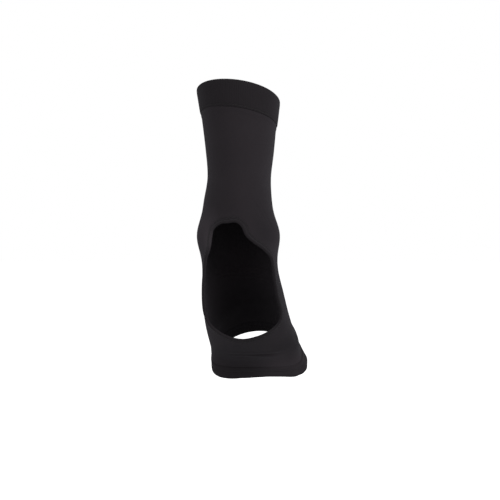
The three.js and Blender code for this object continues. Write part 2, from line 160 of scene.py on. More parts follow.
BEND_ANGLE = LEG_LEAN + math.radians(90) - FOOT_SLOPE
BEND_LENGTH = BEND_RADIUS * BEND_ANGLE
TUBE_LENGTH = LEG_LENGTH + BEND_LENGTH + FOOT_REACH
GIRTH = math.pi * 0.5 * (ANKLE_WIDTH + ANKLE_DEPTH)
STRETCHES = {
    "leg": (0.0, LEG_LENGTH),
    "bend": (LEG_LENGTH, BEND_LENGTH),
    "foot": (LEG_LENGTH + BEND_LENGTH, FOOT_REACH),
}

# Half widths on the outer and the inner side, as shares of width
Width = namedtuple("Width", "on at width outer inner")
WIDTHS = [
    Width("leg", 0.0, CALF_WIDTH, 0.516, 0.48),
    Width("leg", 0.17, CALF_WIDTH, 0.468, 0.445),
    Width("leg", 0.38, ANKLE_WIDTH, 0.552, 0.552),
    Width("leg", 0.57, ANKLE_WIDTH, 0.512, 0.502),
    Width("leg", 0.75, ANKLE_WIDTH, 0.575, 0.519),
    Width("bend", 0.0, BONE_WIDTH, 0.522, 0.496),
    Width("bend", 0.25, BONE_WIDTH, 0.514, 0.535),
    Width("bend", 0.5, ARCH_WIDTH, 0.411, 0.457),
    Width("bend", 0.75, ARCH_WIDTH, 0.424, 0.487),
    Width("foot", 0.0, ARCH_WIDTH, 0.438, 0.506),
    Width("foot", 0.5, FOOT_WIDTH, 0.458, 0.482),
    Width("foot", 1.0, FOOT_WIDTH, 0.49, 0.52),
]

# Front and back reach from the centre line, and how far the widest line lies behind it, as shares
Depth = namedtuple("Depth", "on at depth front back widest")
DEPTHS = [
    Depth("leg", 0.0, CALF_DEPTH, 0.47, 0.5, 0.0),
    Depth("leg", 0.17, CALF_DEPTH, 0.44, 0.46, 0.0),
    Depth("leg", 0.38, ANKLE_DEPTH, 0.48, 0.53, 0.0),
    Depth("leg", 0.57, ANKLE_DEPTH, 0.46, 0.53, 0.0),
    Depth("leg", 0.75, ANKLE_DEPTH, 0.46, 0.54, 0.0),
    Depth("bend", 0.0, HEEL_DEPTH, 0.39, 0.48, 0.0),
    Depth("bend", 0.25, HEEL_DEPTH, 0.43, 0.57, 0.0),
    Depth("bend", 0.5, HEEL_DEPTH, 0.44, 0.52, 0.0),
    Depth("bend", 0.75, ARCH_HEIGHT, 0.63, 0.49, 0.08),
    Depth("foot", 0.0, ARCH_HEIGHT, 0.57, 0.365, 0.15),
    Depth("foot", 0.5, FOOT_HEIGHT, 0.6, 0.42, 0.17),
    Depth("foot", 1.0, FOOT_HEIGHT, 0.49, 0.52, 0.2),
]

# The sections' superellipse powers: 2 is an ellipse, and more is squarer
Bow = namedtuple("Bow", "on at front back")
BOWS = [
    Bow("leg", 0.17, 2.0, 2.0),
    Bow("leg", 0.38, 2.0, 2.0),
    Bow("leg", 0.57, 2.0, 1.9),
    Bow("leg", 0.75, 2.0, 1.8),
    Bow("bend", 0.0, 2.0, 1.8),
    Bow("bend", 0.25, 2.0, 2.0),
    Bow("bend", 0.5, 2.0, 2.1),
    Bow("bend", 0.75, 2.0, 2.3),
    Bow("foot", 0.0, 1.9, 2.6),
    Bow("foot", 0.5, 1.9, 3.6),
    Bow("foot", 1.0, 1.9, 5.4),
]

# How far the top is pulled askew, as shares of CUFF_SLANT and CUFF_TIP
Pull = namedtuple("Pull", "on at slant tip")
PULLS = [
    Pull("leg", 0.0, 0.95, 1.0),
    Pull("leg", 0.17, 1.1, 0.0),
    Pull("leg", 0.38, 0.5, 0.0),
    Pull("leg", 0.57, 0.1, 0.0),
    Pull("leg", 0.75, 0.0, 0.0),
    Pull("bend", 0.0, 0.0, 0.0),
]

# The middles of the two ankle bumps
Bone = namedtuple("Bone", "on at around")
BONES = [Bone("leg", 0.96, 0.255), Bone("leg", 0.965, 0.745)]

# The opening's outline: how far its edge lies from the back of the tube on each side, as shares of
# half the way round. Below 0 it lies on the other side. down is a share of OPENING_LENGTH.
Side = namedtuple("Side", "down inner outer")
OPENING = [
    Side(0.0, -0.025, 0.165),
    Side(0.05, 0.02, 0.24),
    Side(0.12, 0.045, 0.257),
    Side(0.18, 0.122, 0.264),
    Side(0.235, 0.242, 0.279),
    Side(0.3, 0.338, 0.322),
    Side(0.38, 0.362, 0.35),
    Side(0.5, 0.362, 0.378),
    Side(0.65, 0.361, 0.385),
    Side(0.78, 0.362, 0.368),
    Side(0.86, 0.328, 0.294),
    Side(0.92, 0.223, 0.19),
    Side(0.97, 0.105, 0.105),
]


def along_of(row):
    start, length = STRETCHES[row.on]
    return start + row.at * length


def smooth_column(rows, value_of):
    """A smooth curve through a table's column, with a slope at each row from its two neighbours."""
    x = np.array([along_of(row) for row in rows])
    y = np.array([value_of(row) for row in rows])
    before = np.maximum(np.arange(len(x)) - 1, 0)
    after = np.minimum(np.arange(len(x)) + 1, len(x) - 1)
    slope = (y[after] - y[before]) / (x[after] - x[before])

    def at(along):
        i = np.clip(np.searchsorted(x, along) - 1, 0, len(x) - 2)
        step = x[i + 1] - x[i]
        t = np.clip((along - x[i]) / step, 0, 1)
        rise = y[i + 1] - y[i]
        cubic = step * (slope[i] + slope[i + 1]) - 2 * rise
        return y[i] + t * (step * slope[i] + t * (rise - step * slope[i] - (1 - t) * cubic))

    return at


def directions(along, full_turn, tip=0.0, slant=0.0):
    """Towards the inner side, the front or the top, and the cuff, at places along the line."""
    bent = np.clip((along - LEG_LENGTH) / BEND_LENGTH, 0, 1)
    pitch = (LEG_LEAN - BEND_ANGLE * bent + tip)[:, None]
    turn = full_turn * (1 - (1 - bent) ** 3)
    slant = np.broadcast_to(slant, along.shape)[:, None]
    level = np.zeros_like(turn)
    ahead = np.stack([np.sin(turn), np.cos(turn), level], axis=-1)
    flat = np.stack([np.cos(turn), -np.sin(turn), level], axis=-1)
    upright = np.array([0.0, 0.0, 1.0])
    steep = ahead * np.sin(pitch) + upright * np.cos(pitch)
    front = ahead * np.cos(pitch) - upright * np.sin(pitch)
    side = flat * np.cos(slant) - steep * np.sin(slant)
    up = steep * np.cos(slant) + flat * np.sin(slant)
    return side, front, up


def centre_line(along, steps=200):
    """Straight down the leg part, then walked in short steps round the bend and the foot part."""
    step = (BEND_LENGTH + FOOT_REACH) / steps
    middles = LEG_LENGTH + (np.arange(steps) + 0.5) * step
    walk = np.vstack([np.zeros(3), np.cumsum(-step * directions(middles, FOOT_TURN)[2], axis=0)])
    below = along - LEG_LENGTH
    walked = np.arange(steps + 1) * step
    foot = np.stack([np.interp(below, walked, axis) for axis in walk.T], axis=-1)
    leg = directions(along, FOOT_TURN)[2] * -below[:, None]
    return np.where(below[:, None] <= 0, leg, foot)


def half_outline(half_width, front, back, widest, front_bow, back_bow, shares, steps=384):
    """One half of a cross section, front to back, read at even shares of its length."""
    angle = np.linspace(0, math.pi, steps + 1)
    ahead = np.cos(angle)
    power = 2 / np.where(ahead > 0, front_bow, back_bow)
    x = half_width * np.clip(np.sin(angle), 0, 1) ** power
    y = np.sign(ahead) * np.where(ahead > 0, front, back) * np.abs(ahead) ** power - widest
    length = np.concatenate([[0], np.cumsum(np.hypot(np.diff(x), np.diff(y)))])
    return np.interp(shares * length[-1], length, x), np.interp(shares * length[-1], length, y)


GRID_ROWS = 620
GRID_COLUMNS = 480


def bare_tube():
    """The tube as a grid of points, without the ankle bumps."""
    along = np.linspace(0, TUBE_LENGTH, GRID_ROWS)
    tip = smooth_column(PULLS, lambda row: row.tip * CUFF_TIP)(along)
    slant = smooth_column(PULLS, lambda row: row.slant * CUFF_SLANT)(along)
    side, front_way, _ = directions(along, SECTION_TURN, tip, slant)
    centre = centre_line(along)
    inner = smooth_column(WIDTHS, lambda row: row.width * row.inner)(along)
    outer = smooth_column(WIDTHS, lambda row: row.width * row.outer)(along)
    columns = [
        smooth_column(DEPTHS, lambda row: row.depth * (row.front + row.widest))(along),
        smooth_column(DEPTHS, lambda row: row.depth * (row.back - row.widest))(along),
        smooth_column(DEPTHS, lambda row: row.depth * row.widest)(along),
        smooth_column(BOWS, lambda row: row.front)(along),
        smooth_column(BOWS, lambda row: row.back)(along),
    ]
    shares = np.arange(GRID_COLUMNS // 2 + 1) / (GRID_COLUMNS // 2)
    points = np.empty((GRID_ROWS, GRID_COLUMNS, 3))
    for i in range(GRID_ROWS):
        shape = [column[i] for column in columns]
        x_in, y_in = half_outline(inner[i], *shape, shares)
        x_out, y_out = half_outline(outer[i], *shape, shares)
        x = np.concatenate([x_in, -x_out[-2:0:-1]])
        y = np.concatenate([y_in, y_out[-2:0:-1]])
        points[i] = centre[i] + x[:, None] * side[i] + y[:, None] * front_way[i]
    return points


def outwards(points):
    down = np.gradient(points, axis=0)
    round_it = np.roll(points, -1, axis=1) - np.roll(points, 1, axis=1)
    across = np.cross(round_it, down)
    return across / np.linalg.norm(across, axis=-1, keepdims=True)


def on_grid(values, along, around):
    """Reads a grid's values between its rows and columns."""
    row = np.clip(along / TUBE_LENGTH, 0, 1) * (GRID_ROWS - 1)
    column = (around % 1.0) * GRID_COLUMNS
    r = np.minimum(row.astype(int), GRID_ROWS - 2)
    c = np.floor(column).astype(int)
    down = (row - r)[..., None]
    across = (column - c)[..., None]
    c, beside = c % GRID_COLUMNS, (c + 1) % GRID_COLUMNS
    above = (1 - across) * values[r, c] + across * values[r, beside]
    below = (1 - across) * values[r + 1, c] + across * values[r + 1, beside]
    return (1 - down) * above + down * below


tube = bare_tube()
bump = np.zeros((GRID_ROWS, GRID_COLUMNS))
for bone in BONES:
    middle = on_grid(tube, np.array([along_of(bone)]), np.array([bone.around]))[0]
    far = np.linalg.norm(tube - middle, axis=-1) / BONE_SPREAD
    bump += BONE_RISE * np.exp(-far * far)
surface = tube + outwards(tube) * bump[..., None]


def smooth_loop(corners, spacing, steps=40):
    """A closed centripetal curve through corners, as points spaced evenly along it."""
    corners = np.asarray(corners, dtype=float)
    points = []
    for i in range(len(corners)):
        p0, p1, p2, p3 = (corners[(i + k) % len(corners)] for k in (-1, 0, 1, 2))
        d0, d1, d2 = (np.linalg.norm(b - a) ** 0.5 for a, b in ((p0, p1), (p1, p2), (p2, p3)))
        start = d1 * ((p1 - p0) / d0 - (p2 - p0) / (d0 + d1) + (p2 - p1) / d1)
        end = d1 * ((p2 - p1) / d1 - (p3 - p1) / (d1 + d2) + (p3 - p2) / d2)
        t = np.linspace(0, 1, steps, endpoint=False)[:, None]
        second, third = 3 * (p2 - p1) - 2 * start - end, 2 * (p1 - p2) + start + end
        points.append(p1 + t * (start + t * (second + t * third)))
    points = np.vstack([*points, corners[:1]])
    length = np.concatenate([[0], np.cumsum(np.linalg.norm(np.diff(points, axis=0), axis=1))])
    wanted = np.linspace(0, length[-1], round(length[-1] / spacing), endpoint=False)
    return np.stack([np.interp(wanted, length, axis) for axis in points.T], axis=-1)


def flattened(down, share):
    return 0.5 * share * GIRTH, OPENING_TOP + down * OPENING_LENGTH


EDGE_SPACING = 0.4 * MM
opening_corners = [
    flattened(OPENING[0].down, 0.5 * (OPENING[0].outer - OPENING[0].inner)),
    *[flattened(row.down, -row.inner) for row in OPENING],
    flattened(1.0, 0.0),
    *[flattened(row.down, row.outer) for row in reversed(OPENING)],
]
opening_edge = smooth_loop(opening_corners, EDGE_SPACING)
edge_along, edge_around = opening_edge[:, 1], 0.5 + opening_edge[:, 0] / GIRTH
edge_points = on_grid(surface, edge_along, edge_around)
edge_tree = kdtree.KDTree(len(edge_points))
for i, point in enumerate(edge_points):
    edge_tree.insert(point, i)
edge_tree.balance()
nearest = [edge_tree.find(point) for point in surface.reshape(-1, 3)]
edge_distance = np.array([found[2] for found in nearest]).reshape(GRID_ROWS, GRID_COLUMNS)

# Soft creases that tension and bending leave in the cloth, as ridges or furrows on its surface: where
# the middle lies, how long and wide each is, how it is turned and how far it rises. The last six are
# wide, low swells and dents above the hem and round the toe edge.
Crease = namedtuple("Crease", "along around length width turn rise")
CREASES = [
    Crease(239 * MM, 0.478, 38 * MM, 2.6 * MM, 0, -1.2 * MM),
    Crease(236.2 * MM, 0.48, 44 * MM, 3.4 * MM, 0, 0.5 * MM),
    Crease(243 * MM, 0.44, 22 * MM, 6.0 * MM, 0, 0.6 * MM),
    Crease(243.5 * MM, 0.505, 26 * MM, 6.0 * MM, 0, -0.4 * MM),
    Crease(118 * MM, 0.40, 30 * MM, 2.6 * MM, -48, -0.22 * MM),
    Crease(122 * MM, 0.36, 32 * MM, 2.4 * MM, -52, -0.2 * MM),
    Crease(127 * MM, 0.63, 22 * MM, 2.6 * MM, 55, -0.2 * MM),
    Crease(172 * MM, 0.02, 46 * MM, 3.4 * MM, 3, -0.5 * MM),
    Crease(179 * MM, 0.97, 52 * MM, 3.6 * MM, -2, -0.6 * MM),
    Crease(187 * MM, 0.01, 44 * MM, 3.4 * MM, 4, -0.45 * MM),
    Crease(248 * MM, 0.237, 24 * MM, 19 * MM, 0, 1.5 * MM),
    Crease(273 * MM, 0.212, 12 * MM, 16 * MM, 0, -1.2 * MM),
    Crease(276 * MM, 0.32, 8.4 * MM, 16 * MM, 0, -1.3 * MM),
    Crease(276 * MM, 0.425, 22 * MM, 16 * MM, 0, -1.0 * MM),
    Crease(276 * MM, 0.627, 19 * MM, 18 * MM, 0, 1.2 * MM),
    Crease(276 * MM, 0.592, 30 * MM, 18 * MM, 0, 1.5 * MM),
]
grid_along = np.linspace(0, TUBE_LENGTH, GRID_ROWS)[:, None]
grid_around = np.arange(GRID_COLUMNS) / GRID_COLUMNS
folds = np.zeros_like(bump)
for crease in CREASES:
    across = ((grid_around - crease.around + 0.5) % 1.0 - 0.5) * GIRTH
    down = grid_along - crease.along
    turn = math.radians(crease.turn)
    lengthwise = across * math.cos(turn) + down * math.sin(turn)
    sideways = down * math.cos(turn) - across * math.sin(turn)
    ends = np.exp(-((2 * lengthwise / crease.length) ** 4))
    folds += crease.rise * ends * np.exp(-((2 * sideways / crease.width) ** 2))

# The knit swells a little just below the cuff's seam
SWELL_RISE = 0.4 * MM
SWELL_BELOW = 2.2 * MM
SWELL_REACH = 1.5 * MM
below_swell = (grid_along - CUFF_HEIGHT - SWELL_BELOW) / SWELL_REACH
folds += SWELL_RISE * np.exp(-below_swell * below_swell)

# Shallow rings where the binding's pull shows in the knit round the top of the opening
RING_RISE = 0.16 * MM
RING_SPACING = 2.4 * MM
RINGS_MIDDLE = 8 * MM  # out from the opening's edge
RINGS_REACH = 3.2 * MM
RINGS_BELOW = 14 * MM  # how far down the opening's sides they reach
RINGS_FADE = 12 * MM  # over how much of that they fade
ring_fade = np.exp(-(((edge_distance - RINGS_MIDDLE) / RINGS_REACH) ** 2))
above_opening = np.clip((OPENING_TOP + RINGS_BELOW - grid_along) / RINGS_FADE, 0, 1)
ring_waves = np.cos(2 * math.pi * edge_distance / RING_SPACING)
folds += RING_RISE * ring_waves * ring_fade * above_opening

cloth = surface + outwards(surface) * folds[..., None]
cloth_outwards = outwards(cloth)


def lifted(along, around, height):
    """A place that lies a given height above the cloth, with its creases."""
    height = np.asarray(height)[..., None]
    return on_grid(cloth, along, around) + on_grid(cloth_outwards, along, around) * height


def edge_slope(along_step, around_step):
    """How far a step down or round goes at the opening's edge, for each unit of the step."""
    ahead = on_grid(surface, edge_along + along_step, edge_around + around_step)
    behind = on_grid(surface, edge_along - along_step, edge_around - around_step)
    return (ahead - behind) / (2 * (along_step + around_step))


def dot(first, second):
    return np.sum(first * second, axis=-1)


def beside_opening(distance, reach=3):
    """The places that lie a given distance outwards of the opening's edge, along the surface."""
    normal = on_grid(cloth_outwards, edge_along, edge_around)
    tangent = np.roll(edge_points, -reach, axis=0) - np.roll(edge_points, reach, axis=0)
    aside = np.cross(normal, tangent)
    aside /= np.linalg.norm(aside, axis=-1, keepdims=True)
    down = edge_slope(1 * MM, 0)
    across = edge_slope(0, 1 * MM / GIRTH)
    dd, dr, rr = dot(down, down), dot(down, across), dot(across, across)
    da, ra = dot(down, aside), dot(across, aside)
    scale = distance / (dd * rr - dr * dr)
    return edge_along + scale * (rr * da - dr * ra), edge_around + scale * (dd * ra - dr * da)


def cloth_piece(name, points, quads, corner_uv):
    """A smooth-shaded mesh object with its own UV map, in metres of cloth."""
    mesh = bpy.data.meshes.new(name)
    mesh.from_pydata(points.tolist(), [], quads.tolist())
    mesh.uv_layers.new(name="cloth").data.foreach_set("uv", corner_uv.reshape(-1))
    mesh.shade_smooth()
    mesh.validate()
    piece = bpy.data.objects.new(name, mesh)
    bpy.context.collection.objects.link(piece)
    return piece


KNIT_ROWS = 196
KNIT_COLUMNS = 228
knit_start = CUFF_HEIGHT - KNIT_TUCK
knit_end = TUBE_LENGTH - HEM_WIDTH + KNIT_TUCK


def inside_loop(x, y, loop_x, loop_y):
    """Which places lie inside a closed loop, counted by the loop's crossings of a level line."""
    inside = np.zeros(x.shape, dtype=bool)
    for x1, y1, x2, y2 in zip(loop_x, loop_y, np.roll(loop_x, -1), np.roll(loop_y, -1)):
        if y1 != y2:
            crosses = (y1 > y) != (y2 > y)
            inside ^= crosses & (x < (x2 - x1) * (y - y1) / (y2 - y1) + x1)
    return inside


def knit_sheet():
    """The knit's quads with the opening cut out, its cut edge drawn onto a smooth loop."""
    along = np.repeat(np.linspace(knit_start, knit_end, KNIT_ROWS + 1), KNIT_COLUMNS)
    around = np.tile(np.arange(KNIT_COLUMNS) / KNIT_COLUMNS, KNIT_ROWS + 1)
    cut_along, cut_around = beside_opening(KNIT_TUCK)
    cut_across = (cut_around - 0.5) * GIRTH
    cut = inside_loop((around - 0.5) * GIRTH, along, cut_across, cut_along)
    row, column = np.divmod(np.arange(KNIT_ROWS * KNIT_COLUMNS), KNIT_COLUMNS)
    beside = (column + 1) % KNIT_COLUMNS
    above, below = row * KNIT_COLUMNS, (row + 1) * KNIT_COLUMNS
    quads = np.stack([above + column, above + beside, below + beside, below + column], axis=-1)
    kept = ~cut[quads].any(axis=1)
    sides = ((int(a), int(b)) for quad in quads[kept] for a, b in zip(quad, np.roll(quad, -1)))
    edges = dict.fromkeys(sides)
    rim = [a for a, b in edges if (b, a) not in edges and 0 < a // KNIT_COLUMNS < KNIT_ROWS]
    tree = kdtree.KDTree(len(cut_along))
    for i, (x, y) in enumerate(zip(cut_across, cut_along)):
        tree.insert((x, y, 0), i)
    tree.balance()
    for vertex in rim:
        place, _, _ = tree.find(((around[vertex] - 0.5) * GIRTH, along[vertex], 0))
        around[vertex], along[vertex] = 0.5 + place.x / GIRTH, place.y
    return along, around, quads[kept], edges, column[kept]


def shell(name, along, around, quads, edges, column, wall):
    """Two layers of quads a wall apart, closed along their rims."""
    used = np.unique(quads)
    fresh = np.full(len(along), -1)
    fresh[used] = np.arange(len(used))
    outer = lifted(along[used], around[used], wall)
    inner = lifted(along[used], around[used], 0.0)
    count = len(used)
    top = fresh[quads]
    bottom = top[:, ::-1] + count
    open_edges = np.array([(a, b) for a, b in edges if (b, a) not in edges])
    starts, ends = fresh[open_edges].T
    rims = np.stack([ends, starts, starts + count, ends + count], axis=-1)
    u = np.stack([column, column + 1, column + 1, column], axis=-1) / KNIT_COLUMNS * GIRTH
    top_uv = np.stack([u, along[quads]], axis=-1)
    rim_uv = np.zeros((len(rims), 4, 2))
    uv = np.concatenate([top_uv, top_uv[:, ::-1], rim_uv])
    return cloth_piece(name, np.vstack([outer, inner]), np.vstack([top, bottom, rims]), uv)


# Painted light and shade on the black: each patch has a middle, a reach and a change of shade.
# It paints light beside the outer ankle bump, a painted highlight along the opening's rim there, and
# painted light at the toe end's inner half and at the hem's outer end. It paints shade beside the
# opening, along the foot part's inner side and on its underside.
Shade = namedtuple("Shade", "along around reach change")
PAINTED_LIGHT_AND_SHADE = [
    Shade(132 * MM, 0.67, 26 * MM, 0.85),
    Shade(266 * MM, 0.38, 36 * MM, 0.95),
    Shade(124 * MM, 0.38, 38 * MM, -0.2),
    Shade(182 * MM, 0.26, 42 * MM, -0.45),
    Shade(235 * MM, 0.285, 34 * MM, -0.5),
    Shade(143 * MM, 0.635, 16 * MM, 0.9),
    Shade(240 * MM, 0.56, 40 * MM, -0.33),
    Shade(272 * MM, 0.68, 22 * MM, 0.3),
    Shade(253 * MM, 0.265, 24 * MM, -0.42),
    Shade(211 * MM, 0.34, 13 * MM, -0.25),
    Shade(242 * MM, 0.372, 15 * MM, 0.2),
    Shade(242 * MM, 0.635, 16 * MM, -0.16),
    Shade(140 * MM, 0.37, 22 * MM, -0.2),
]

FUZZ_SCALE = 2600.0  # the yarn's loose fibres
FADE_SCALE = 34.0  # slow changes of shade along the cloth
COURSE = 0.7 * MM  # the height of one row of loops


def knit_material(name, colour, wale, relief, fade, sheen, roughness):
    """A fine knit: columns of loops a wale apart, with the loops' arms leaning each way."""
    material = bpy.data.materials.new(name)
    material.use_nodes = True
    nodes, links = material.node_tree.nodes, material.node_tree.links
    shader = nodes["Principled BSDF"]
    shader.inputs["Roughness"].default_value = roughness
    shader.inputs["Specular IOR Level"].default_value = 0.04
    shader.inputs["Sheen Weight"].default_value = sheen
    shader.inputs["Sheen Roughness"].default_value = 0.6
    shader.inputs["Sheen Tint"].default_value = (0.9, 0.88, 1.0, 1.0)

    def formula(operation, *values):
        node = nodes.new("ShaderNodeMath")
        node.operation = operation
        for socket, value in zip(node.inputs, values):
            if isinstance(value, (int, float)):
                socket.default_value = value
            else:
                links.new(value, socket)
        return node.outputs[0]

    def noise(scale, detail):
        node = nodes.new("ShaderNodeTexNoise")
        node.inputs["Scale"].default_value = scale
        node.inputs["Detail"].default_value = detail
        links.new(place.outputs["Object"], node.inputs["Vector"])
        return node.outputs["Fac"]

    place = nodes.new("ShaderNodeTexCoord")
    cloth_place = nodes.new("ShaderNodeUVMap")
    cloth_place.uv_map = "cloth"
    axes = nodes.new("ShaderNodeSeparateXYZ")
    links.new(cloth_place.outputs["UV"], axes.inputs[0])
    across, down = axes.outputs["X"], axes.outputs["Y"]

    rib = formula("ABSOLUTE", formula("SINE", formula("MULTIPLY", across, math.pi / wale)))
    loops = formula("ADD", formula("DIVIDE", down, COURSE), formula("MULTIPLY", rib, 0.5))
    arm = formula("SINE", formula("MULTIPLY", loops, 2 * math.pi))
    arm = formula("MULTIPLY_ADD", arm, 0.225, 0.775)
    height = formula("MULTIPLY", formula("POWER", rib, 0.6), arm)
    knit_bump = nodes.new("ShaderNodeBump")
    knit_bump.inputs["Strength"].default_value = 0.6
    knit_bump.inputs["Distance"].default_value = relief
    fuzzy_height = formula("MULTIPLY_ADD", noise(FUZZ_SCALE, 3.0), 0.5, height)
    links.new(fuzzy_height, knit_bump.inputs["Height"])
    links.new(knit_bump.outputs["Normal"], shader.inputs["Normal"])

    # Painted light and shade: each patch makes the black paler or darker near its middle
    painted_shading = 1.0
    for shade in PAINTED_LIGHT_AND_SHADE:
        middle = on_grid(surface, np.array([shade.along]), np.array([shade.around]))[0]
        away = nodes.new("ShaderNodeVectorMath")
        away.operation = "DISTANCE"
        links.new(place.outputs["Object"], away.inputs[0])
        away.inputs[1].default_value = middle
        change = nodes.new("ShaderNodeMapRange")
        change.interpolation_type = "SMOOTHSTEP"
        links.new(away.outputs["Value"], change.inputs["Value"])
        change.inputs["From Max"].default_value = shade.reach
        change.inputs["To Min"].default_value = shade.change
        change.inputs["To Max"].default_value = 0.0
        painted_shading = formula("ADD", change.outputs["Result"], painted_shading)
    tone = formula("MULTIPLY_ADD", noise(FADE_SCALE, 4.0), fade, 1.0 - 0.5 * fade)
    # Painted shade: the black is darker in the grooves between the loops and paler on their tops
    tone = formula("MULTIPLY", tone, formula("MULTIPLY_ADD", height, 0.35, 0.8))
    tone = formula("MULTIPLY", tone, painted_shading)
    tint = nodes.new("ShaderNodeMix")
    tint.data_type = "RGBA"
    tint.blend_type = "MULTIPLY"
    tint.inputs["Factor"].default_value = 1.0
    tint.inputs["A"].default_value = (*colour, 1.0)
    grey = nodes.new("ShaderNodeCombineColor")
    for channel in grey.inputs:
        links.new(tone, channel)
    links.new(grey.outputs[0], tint.inputs["B"])
    links.new(tint.outputs["Result"], shader.inputs["Base Color"])
    return material


knit_black = knit_material(
    "knit_black", (0.017, 0.0142, 0.0163),
    wale=0.8 * MM, relief=0.12 * MM, fade=0.3, sheen=0.05, roughness=0.85,
)
knit = shell("knit", *knit_sheet(), KNIT_WALL)
knit.data.materials.append(knit_black)
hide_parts("knit_tube")
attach(knit, "root")


# The heel binding. A folded strip of the same knit that wraps the cut edge of the heel opening, with
# a rolled rim at the edge and a flat lap beside it, sewn down in a furrow between the two.
def swept_trim(name, along, around, height, profile_length, path_length):
    """A closed strip from rings of places, one ring for each point of its section."""
    rings, count = along.shape
    points = lifted(along, around, height).reshape(-1, 3)
    ring, column = np.divmod(np.arange(rings * count), count)
    beside = (column + 1) % count
    here, next_ring = ring * count, (ring + 1) % rings * count
    corners = [here + column, here + beside, next_ring + beside, next_ring + column]
    u = np.stack([column, column + 1, column + 1, column], axis=-1) / count * path_length
    v = np.stack([ring, ring, ring + 1, ring + 1], axis=-1) / rings * profile_length
    return cloth_piece(name, points, np.stack(corners, axis=-1), np.stack([u, v], axis=-1))


def loop_length(loop):
    return float(np.sum(np.linalg.norm(np.roll(loop, -1, axis=0) - loop, axis=1)))


BINDING_WIDTH = 4.5 * MM
BINDING_WALL = 2.4 * MM
BINDING_FURROW = 2.9 * MM
Corner = namedtuple("Corner", "across height")
BINDING_SECTION = [
    Corner(0.0, 1.1 * MM),
    Corner(0.3 * MM, 2.0 * MM),
    Corner(1.3 * MM, BINDING_WALL + 0.15 * MM),
    Corner(2.3 * MM, 2.15 * MM),
    Corner(BINDING_FURROW, 1.75 * MM),
    Corner(3.4 * MM, 1.95 * MM),
    Corner(4.2 * MM, 1.85 * MM),
    Corner(BINDING_WIDTH, 1.2 * MM),
    Corner(4.1 * MM, 0.1 * MM),
    Corner(0.5 * MM, 0.1 * MM),
]
BINDING_FACETS = 0.35 * MM
section = smooth_loop(BINDING_SECTION, BINDING_FACETS)
rings = [beside_opening(distance) for distance in section[:, 0]]
binding_along = np.stack([ring[0] for ring in rings])
binding_around = np.stack([ring[1] for ring in rings])
binding_height = np.repeat(section[:, 1:], binding_along.shape[1], axis=1)
# Its black is set darker than the knit's, a painted shade along the opening's edge
binding_black = knit_material(
    "binding_black", (0.0135, 0.0115, 0.013),
    wale=0.7 * MM, relief=0.1 * MM, fade=0.25, sheen=0.05, roughness=0.85,
)
edge_length = loop_length(edge_points)
binding = swept_trim(
    "binding", binding_along, binding_around, binding_height, loop_length(section), edge_length
)
binding.data.materials.append(binding_black)
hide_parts("heel_binding")
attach(binding, "root")


